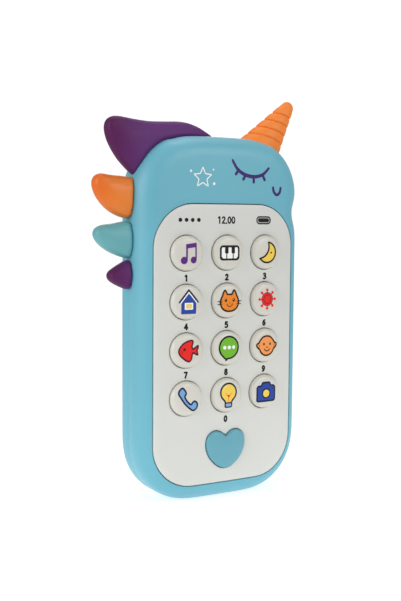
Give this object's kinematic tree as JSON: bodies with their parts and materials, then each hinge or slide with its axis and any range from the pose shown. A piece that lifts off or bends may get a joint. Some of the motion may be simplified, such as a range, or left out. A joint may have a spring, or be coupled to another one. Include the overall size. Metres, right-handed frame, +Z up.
{
  "type": "toy cell phone",
  "caption": "Toddler's toy phone with a sleeping unicorn head, picture keys that press, a heart button, a power slide, a speaker and a screwed battery door.",
  "frame": {"origin": "middle of the flat foot, on the parting plane of the two shells", "axes": "+Z up the phone, -Y out of the screen, +X to the right as the screen is seen"},
  "size_m": [0.0979, 0.0274, 0.1724],
  "materials": {
    "body_blue": "satin",
    "panel_white": "satin",
    "key_cream": "satin",
    "heart_blue": "satin",
    "mane_purple": "matte",
    "horn_orange": "matte",
    "fin_teal": "matte",
    "ink_dark": "printed",
    "ink_purple": "printed",
    "ink_white": "printed",
    "ink_blue": "printed",
    "ink_sky": "printed",
    "ink_yellow": "printed",
    "ink_orange": "printed",
    "ink_red": "printed",
    "ink_green": "printed",
    "silicone_grey": "matte",
    "carbon_black": "matte",
    "board_green": "solder mask",
    "copper_pads": "gold flash",
    "chip_black": "epoxy",
    "component_tan": "fired",
    "switch_black": "satin",
    "nickel_steel": "bright",
    "screw_steel": "zinc",
    "magnet_steel": "plated",
    "cone_paper": "matte",
    "foam_black": "foam",
    "cell_wrap": "shrink sleeve",
    "lead_red": "PVC",
    "lead_black": "PVC"
  },
  "bodies": {
    "case": {"front_shell": "body_blue", "back_shell": "body_blue", "face_panel": "panel_white", "keypad_membrane": "silicone_grey", "contact_pads": "copper_pads", "circuit_board": "board_green", "sound_chip": "chip_black", "board_parts": "component_tan", "capacitor": "chip_black", "switch_body": "nickel_steel", "speaker_basket": "magnet_steel", "speaker_magnet": "magnet_steel", "speaker_surround": "foam_black", "speaker_gasket": "foam_black", "speaker_cloth": "foam_black", "battery_tray": "body_blue", "battery_1": "cell_wrap", "battery_2": "cell_wrap", "battery_3": "cell_wrap", "battery_springs": "nickel_steel", "battery_plates": "nickel_steel", "case_screws": "screw_steel", "board_screws": "screw_steel", "battery_leads": "lead_red", "speaker_leads": "lead_black", "mane_large": "mane_purple", "fin_orange": "horn_orange", "fin_teal": "fin_teal", "fin_purple": "mane_purple", "horn": "horn_orange"},
    "key_music": {"key_music": "key_cream"},
    "key_piano": {"key_piano": "key_cream"},
    "key_moon": {"key_moon": "key_cream"},
    "key_house": {"key_house": "key_cream"},
    "key_cat": {"key_cat": "key_cream"},
    "key_sun": {"key_sun": "key_cream"},
    "key_fish": {"key_fish": "key_cream"},
    "key_chat": {"key_chat": "key_cream"},
    "key_smile": {"key_smile": "key_cream"},
    "key_handset": {"key_handset": "key_cream"},
    "key_bulb": {"key_bulb": "key_cream"},
    "key_camera": {"key_camera": "key_cream"},
    "heart_button": {"heart_button": "heart_blue"},
    "switch_knob": {"switch_knob": "switch_black"},
    "battery_door": {"battery_door": "body_blue"},
    "door_screw_bottom": {"door_screw_bottom": "screw_steel"},
    "door_screw_top": {"door_screw_top": "screw_steel"},
    "speaker_cone": {"speaker_cone": "cone_paper"}
  },
  "joints": [
    {"name": "key_music_press", "type": "slide", "parent": "case", "child": "key_music", "axis": [0, 1, 0], "range_m": [0, 0.0012], "stiffness_N_per_m": 800, "springref_m": -0.0005, "deforming": ["keypad_membrane"]},
    {"name": "key_piano_press", "type": "slide", "parent": "case", "child": "key_piano", "axis": [0, 1, 0], "range_m": [0, 0.0012], "stiffness_N_per_m": 800, "springref_m": -0.0005, "deforming": ["keypad_membrane"]},
    {"name": "key_moon_press", "type": "slide", "parent": "case", "child": "key_moon", "axis": [0, 1, 0], "range_m": [0, 0.0012], "stiffness_N_per_m": 800, "springref_m": -0.0005, "deforming": ["keypad_membrane"]},
    {"name": "key_house_press", "type": "slide", "parent": "case", "child": "key_house", "axis": [0, 1, 0], "range_m": [0, 0.0012], "stiffness_N_per_m": 800, "springref_m": -0.0005, "deforming": ["keypad_membrane"]},
    {"name": "key_cat_press", "type": "slide", "parent": "case", "child": "key_cat", "axis": [0, 1, 0], "range_m": [0, 0.0012], "stiffness_N_per_m": 800, "springref_m": -0.0005, "deforming": ["keypad_membrane"]},
    {"name": "key_sun_press", "type": "slide", "parent": "case", "child": "key_sun", "axis": [0, 1, 0], "range_m": [0, 0.0012], "stiffness_N_per_m": 800, "springref_m": -0.0005, "deforming": ["keypad_membrane"]},
    {"name": "key_fish_press", "type": "slide", "parent": "case", "child": "key_fish", "axis": [0, 1, 0], "range_m": [0, 0.0012], "stiffness_N_per_m": 800, "springref_m": -0.0005, "deforming": ["keypad_membrane"]},
    {"name": "key_chat_press", "type": "slide", "parent": "case", "child": "key_chat", "axis": [0, 1, 0], "range_m": [0, 0.0012], "stiffness_N_per_m": 800, "springref_m": -0.0005, "deforming": ["keypad_membrane"]},
    {"name": "key_smile_press", "type": "slide", "parent": "case", "child": "key_smile", "axis": [0, 1, 0], "range_m": [0, 0.0012], "stiffness_N_per_m": 800, "springref_m": -0.0005, "deforming": ["keypad_membrane"]},
    {"name": "key_handset_press", "type": "slide", "parent": "case", "child": "key_handset", "axis": [0, 1, 0], "range_m": [0, 0.0012], "stiffness_N_per_m": 800, "springref_m": -0.0005, "deforming": ["keypad_membrane"]},
    {"name": "key_bulb_press", "type": "slide", "parent": "case", "child": "key_bulb", "axis": [0, 1, 0], "range_m": [0, 0.0012], "stiffness_N_per_m": 800, "springref_m": -0.0005, "deforming": ["keypad_membrane"]},
    {"name": "key_camera_press", "type": "slide", "parent": "case", "child": "key_camera", "axis": [0, 1, 0], "range_m": [0, 0.0012], "stiffness_N_per_m": 800, "springref_m": -0.0005, "deforming": ["keypad_membrane"]},
    {"name": "heart_button_press", "type": "slide", "parent": "case", "child": "heart_button", "axis": [0, 1, 0], "range_m": [0, 0.0012], "stiffness_N_per_m": 800, "springref_m": -0.0005, "deforming": ["keypad_membrane"]},
    {"name": "power_switch_slide", "type": "slide", "parent": "case", "child": "switch_knob", "axis": [1, 0, 0], "range_m": [0, 0.006]},
    {"name": "battery_door_lift", "type": "slide", "parent": "case", "child": "battery_door", "axis": [0, 1, 0], "range_m": [0, 0.025]},
    {"name": "door_screw_bottom_turn", "type": "hinge", "parent": "battery_door", "child": "door_screw_bottom", "pos_m": [0, 0.0104, 0.0255], "axis": [0, 1, 0], "continuous": true},
    {"name": "door_screw_top_turn", "type": "hinge", "parent": "battery_door", "child": "door_screw_top", "pos_m": [0, 0.0104, 0.0885], "axis": [0, 1, 0], "continuous": true},
    {"name": "speaker_cone_stroke", "type": "slide", "parent": "case", "child": "speaker_cone", "axis": [0, 1, 0], "range_m": [-0.0003, 0.0003], "stiffness_N_per_m": 600, "deforming": ["speaker_surround"]}
  ]
}
